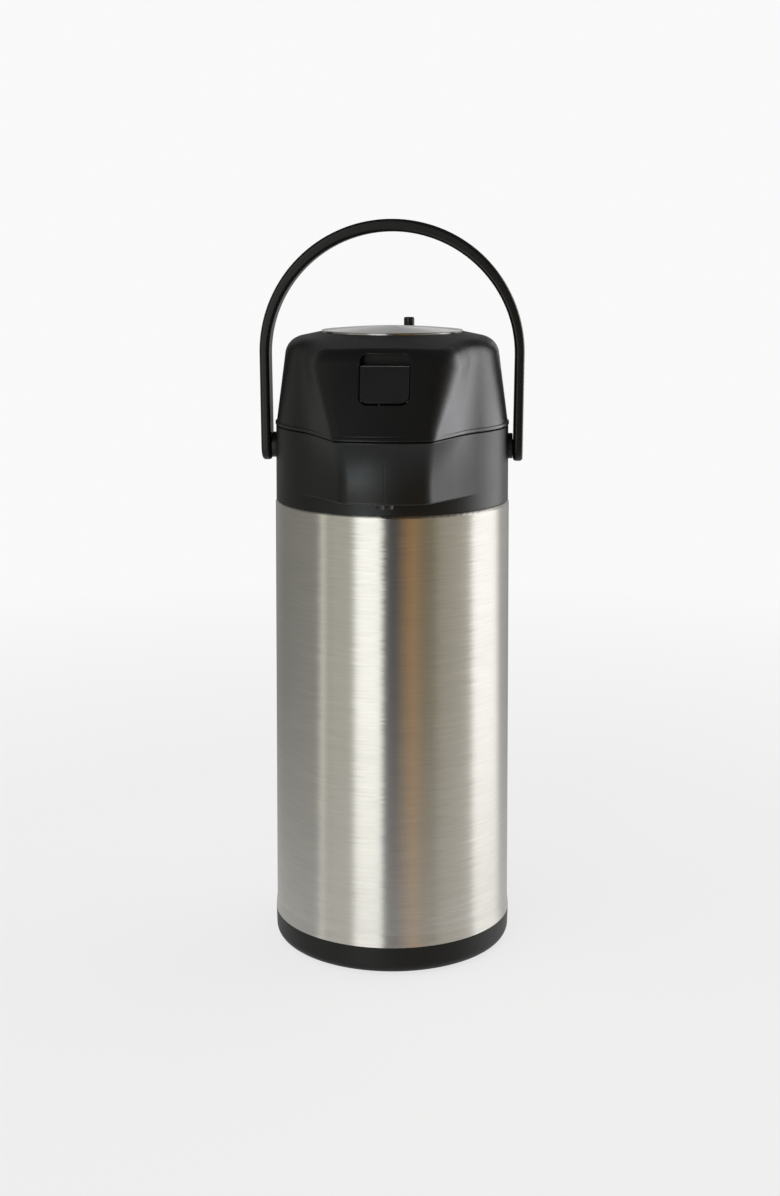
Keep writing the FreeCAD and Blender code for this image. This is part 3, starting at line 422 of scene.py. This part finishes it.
def rubbery(name, tint, roughness):
    """Matt elastomer with a dusty bloom."""
    material, tree, shader = new_material(name)
    place = object_place(tree)
    pores = noise(tree, place, PORE_SIZE, SHARP_DETAIL)
    bloom = noise(tree, place, BLOOM_SIZE, MIDDLE_DETAIL)
    bump = put(tree, "Bump", {"Strength": PORE_BUMP, "Distance": GRAIN_HEIGHT, "Height": pores}).outputs[0]
    dusty = tuple(DUST_SHADE * part + DUST_PALE for part in tint)
    feed(tree, shader, Base_Color=mixed(tree, ranged(tree, bloom, 0.0, BLOOM_SHARE), tint, dusty),
         Roughness=ranged(tree, pores, roughness, roughness + PORE_ROUGH), Normal=bump)
    return material


def clear_plastic(name, tint, roughness, through):
    """Milky translucent tube plastic."""
    material, tree, shader = new_material(name)
    place = object_place(tree)
    cloud = noise(tree, place, MILK_SIZE, MIDDLE_DETAIL)
    pits = noise(tree, place, MILK_PITS)
    bump = put(tree, "Bump", {"Strength": MILK_BUMP, "Distance": GRAIN_HEIGHT, "Height": pits}).outputs[0]
    milky = tuple(MILK_SHADE * part for part in tint)
    colour = mixed(tree, ranged(tree, cloud, 0.0, 1.0), tint, milky)
    feed(tree, shader, Base_Color=colour, Roughness=roughness, Normal=bump, Transmission_Weight=through,
         IOR=MILK_IOR)
    return material


# Each material slot's finish, and what its function is given.
FINISHES = {
    "brushed_shell": (turned_steel, dict(tint=(0.66, 0.645, 0.61), roughness=0.31, spread=1.0, wobble=0.05)),
    "disc_steel": (turned_steel, dict(tint=(0.62, 0.61, 0.60), roughness=0.34, spread=0.9, wobble=0.05)),
    "liner_steel": (plain_steel, dict(tint=(0.62, 0.61, 0.59), roughness=0.22)),
    "pin_steel": (plain_steel, dict(tint=(0.14, 0.135, 0.13), roughness=0.38)),
    "spring_steel": (plain_steel, dict(tint=(0.24, 0.235, 0.23), roughness=0.34)),
    "ball_steel": (plain_steel, dict(tint=(0.70, 0.69, 0.68), roughness=0.12)),
    "seal_metal": (plain_steel, dict(tint=(0.72, 0.70, 0.66), roughness=0.4)),
    "head_plastic": (moulded, dict(tint=(0.0052, 0.0053, 0.0054), roughness=0.38, sheen=0.28)),
    "handle_plastic": (moulded, dict(tint=(0.0050, 0.0049, 0.0048), roughness=0.28, grain=0.0005, depth=0.03,
                                     sheen=0.30)),
    "base_plastic": (moulded, dict(tint=(0.0045, 0.0045, 0.0044), roughness=0.42, grain=0.0004, depth=0.10,
                                   sheen=0.28)),
    "knob_plastic": (moulded, dict(tint=(0.006, 0.006, 0.0065), roughness=0.22, grain=0.0004, depth=0.04)),
    "nozzle_plastic": (moulded, dict(tint=(0.012, 0.012, 0.012), roughness=0.26, grain=0.0004, depth=0.04)),
    "inner_plastic": (moulded, dict(tint=(0.55, 0.55, 0.53), roughness=0.40, grain=0.0006, depth=0.06)),
    "tube_plastic": (clear_plastic, dict(tint=(0.86, 0.87, 0.85), roughness=0.22, through=0.45)),
    "bellows_rubber": (rubbery, dict(tint=(0.42, 0.42, 0.40), roughness=0.55)),
    "seal_rubber": (rubbery, dict(tint=(0.52, 0.50, 0.46), roughness=0.55)),
    "foot_rubber": (rubbery, dict(tint=(0.018, 0.018, 0.018), roughness=0.75)),
}


def finish_nodes():
    """Give every carried-over CAD node the finish of its material slot, and return the finishes."""
    made = {}
    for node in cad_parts.values():
        for place in node.material_slots:
            name = place.material.name
            if name not in made:
                build, settings = FINISHES[name]
                made[name] = build(name + "_finish", **settings)
            place.material = made[name]
    return made


def lid_piece(name, points, faces, finish):
    """A smooth mesh piece that rides on the lid, in the finish of a material slot."""
    mesh = bpy.data.meshes.new(name)
    mesh.from_pydata(points, [], faces)
    mesh.polygons.foreach_set("use_smooth", [True] * len(mesh.polygons))
    mesh.materials.append(finish)
    piece = bpy.data.objects.new(name, mesh)
    bpy.context.scene.collection.objects.link(piece)
    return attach(piece, "lid")


def hoops(rings, closed):
    """Faces that join rings of as many points each, in order, to a torus or to a tube with capped ends."""
    size = len(rings[0])
    faces = []
    count = len(rings)
    for ring in range(count if closed else count - 1):
        after = (ring + 1) % count
        for step in range(size):
            turned = (step + 1) % size
            faces.append((ring * size + step, ring * size + turned,
                          after * size + turned, after * size + step))
    if not closed:
        faces.append(tuple(range(size))[::-1])
        faces.append(tuple(range((count - 1) * size, count * size)))
    return faces


def pleated_bellows(finish):
    """The pump's rubber bellows, a closed thin wall with rounded pleats."""
    outer = []
    for step in range(BELLOWS_STEPS + 1):
        share = step / BELLOWS_STEPS
        wave = math.cos(2 * math.pi * BELLOWS_PLEATS * share)
        pleat = 0.5 * (1 + math.copysign(abs(wave) ** BELLOWS_FULL, wave))
        outer.append((BELLOWS_OUTER - BELLOWS_PLEAT * (1 - pleat),
                      BELLOWS_LOW + BELLOWS_GAP + share * (BELLOWS_HIGH - BELLOWS_LOW - 2 * BELLOWS_GAP)))
    inner = [(radius - BELLOWS_GAUGE, height) for radius, height in reversed(outer)]
    rings = []
    for radius, height in outer + inner:
        turns = [2 * math.pi * step / ROUND_STEPS for step in range(ROUND_STEPS)]
        rings.append([(radius * math.cos(turn), radius * math.sin(turn), height) for turn in turns])
    points = [point for ring in rings for point in ring]
    piece = lid_piece("pleated_bellows", points, hoops(rings, True), finish)
    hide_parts("bellows")
    return piece


def button_spring(finish):
    """The button's return spring: open coils between a flat dead coil at each end."""
    span = BELLOWS_HIGH - BELLOWS_LOW - 2 * (WIRE_R + BELLOWS_GAP)
    open_pitch = (span - 2 * DEAD_PITCH) / (SPRING_TURNS - 2)
    rings = []
    for step in range(SPRING_TURNS * WIRE_STEPS + 1):
        turns = step / WIRE_STEPS
        low = min(turns, 1.0) * DEAD_PITCH
        middle = min(max(turns - 1.0, 0.0), SPRING_TURNS - 2.0) * open_pitch
        high = max(turns - SPRING_TURNS + 1.0, 0.0) * DEAD_PITCH
        height = BELLOWS_LOW + BELLOWS_GAP + WIRE_R + low + middle + high
        angle = 2 * math.pi * turns
        ring = []
        for side in range(WIRE_SIDES):
            turn = -2 * math.pi * side / WIRE_SIDES
            reach = SPRING_R + WIRE_R * math.cos(turn)
            ring.append((reach * math.cos(angle), reach * math.sin(angle), height + WIRE_R * math.sin(turn)))
        rings.append(ring)
    points = [point for ring in rings for point in ring]
    piece = lid_piece("button_spring", points, hoops(rings, False), finish)
    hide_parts("return_spring")
    return piece


def pump_parts(finishes):
    """The soft and sprung pieces of the pump, made here in place of their CAD nodes."""
    for piece in (pleated_bellows(finishes["bellows_rubber"]), button_spring(finishes["spring_steel"])):
        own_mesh(piece)


def studio_world():
    """Soft panels and dim walls round the pot, while the camera itself sees a plain pale backdrop."""
    world = bpy.data.worlds.new("studio")
    bpy.context.scene.world = world
    world.use_nodes = True
    tree = world.node_tree
    tree.nodes.clear()
    x, y, z = put(tree, "SeparateXYZ", {0: put(tree, "TexCoord").outputs["Generated"]}).outputs
    turn = calc(tree, "ARCTAN2", x, calc(tree, "MULTIPLY", y, -1.0))
    turn = calc(tree, "SUBTRACT", turn, math.radians(CAMERA_AZIMUTH))
    turn = calc(tree, "WRAP", turn, math.pi, -math.pi)
    around = calc(tree, "MULTIPLY_ADD", turn, 0.5 / math.pi, 0.5)
    ramp = put(tree, "ValToRGB", {0: around})
    stops = ramp.color_ramp.elements
    for angle, tint in STUDIO[1:-1]:
        stops.new((angle + HALF_ROUND) / (2 * HALF_ROUND)).color = (*tint, 1.0)
    stops[0].color = (*STUDIO[0][1], 1.0)
    stops[-1].color = (*STUDIO[-1][1], 1.0)
    above = ranged(tree, z, 0.0, 1.0, CEILING_FROM, CEILING_FULL)
    below = ranged(tree, z, 0.0, UNDERSIDE_SHARE, UNDERSIDE_FROM, UNDERSIDE_FULL)
    walls = mixed(tree, below, mixed(tree, above, ramp.outputs[0], CEILING), UNDERSIDE)
    seen = put(tree, "LightPath").outputs["Is Camera Ray"]
    colour = mixed(tree, seen, walls, (BACKDROP, BACKDROP, BACKDROP))
    background = put(tree, "Background", {"Color": colour, "Strength": 1.0})
    put(tree, "OutputWorld", {"Surface": background.outputs[0]})


def panel(name, place, aim, size, power, only=(), tint=(1.0, 1.0, 1.0)):
    """One lamp: a soft rectangular panel. Without only, it lights everything and shows in no reflection."""
    data = bpy.data.lights.new(name, "AREA")
    data.shape = "RECTANGLE"
    data.size, data.size_y = size
    data.energy = power
    data.color = tint
    light = bpy.data.objects.new(name, data)
    bpy.context.scene.collection.objects.link(light)
    light.location = place
    light.rotation_euler = (Vector(aim) - Vector(place)).to_track_quat("-Z", "Y").to_euler()
    if only:
        lit = bpy.data.collections.new(name + "_lights")
        for node in only:
            lit.objects.link(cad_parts[node])
        light.light_linking.receiver_collection = lit
    else:
        light.visible_glossy = False


def pale_floor():
    """A wide pale table that fades into the backdrop."""
    mesh = bpy.data.meshes.new("floor")
    signs = ((-1, -1), (1, -1), (1, 1), (-1, 1))
    corners = [(FLOOR_HALF * x, FLOOR_HALF * y, cad_box[0].z) for x, y in signs]
    mesh.from_pydata(corners, [], [(0, 1, 2, 3)])
    floor = bpy.data.objects.new("floor", mesh)
    bpy.context.scene.collection.objects.link(floor)
    material, tree, shader = new_material("pale_table")
    place = object_place(tree)
    feed(tree, shader, Base_Color=mixed(tree, noise(tree, place, FLOOR_CLOUD), FLOOR_PALE, FLOOR_SHADE),
         Roughness=FLOOR_ROUGH, Specular_IOR_Level=FLOOR_SHEEN)
    glow = put(tree, "Emission", {"Color": (1, 1, 1, 1), "Strength": BACKDROP})
    away = put(tree, "VectorMath", {0: place}, operation="LENGTH").outputs["Value"]
    blend = put(tree, "MixShader", {0: ranged(tree, away, FLOOR_GLOW, 1.0, FLOOR_PLAIN, FLOOR_LIT),
                                    1: shader.outputs[0], 2: glow.outputs[0]})
    clear = put(tree, "BsdfTransparent")
    thin = ranged(tree, away, 1.0 - TABLE_SHINE, 1.0, TABLE_NEAR, TABLE_FAR)
    mirrored = put(tree, "LightPath").outputs["Is Glossy Ray"]
    table = put(tree, "MixShader", {0: calc(tree, "MULTIPLY", thin, mirrored), 1: blend.outputs[0],
                                    2: clear.outputs[0]})
    tree.links.new(table.outputs[0], tree.nodes["Material Output"].inputs[0])
    mesh.materials.append(material)


def place_camera():
    data = bpy.data.cameras.new("camera")
    data.sensor_width = CAMERA_SENSOR
    data.lens = CAMERA_LENS
    data.shift_x = CAMERA_SHIFT_X
    data.shift_y = CAMERA_SHIFT_Y
    camera = bpy.data.objects.new("camera", data)
    bpy.context.scene.collection.objects.link(camera)
    turn = math.radians(CAMERA_AZIMUTH)
    camera.location = (CAMERA_DISTANCE * math.sin(turn), -CAMERA_DISTANCE * math.cos(turn), CAMERA_HEIGHT)
    camera.rotation_euler = (math.radians(90 + CAMERA_PITCH), 0.0, turn)
    bpy.context.scene.camera = camera


pump_parts(finish_nodes())
studio_world()
pale_floor()
for lamp in LAMPS:
    panel(**lamp)
place_camera()
bpy.context.scene.view_settings.view_transform = "Standard"
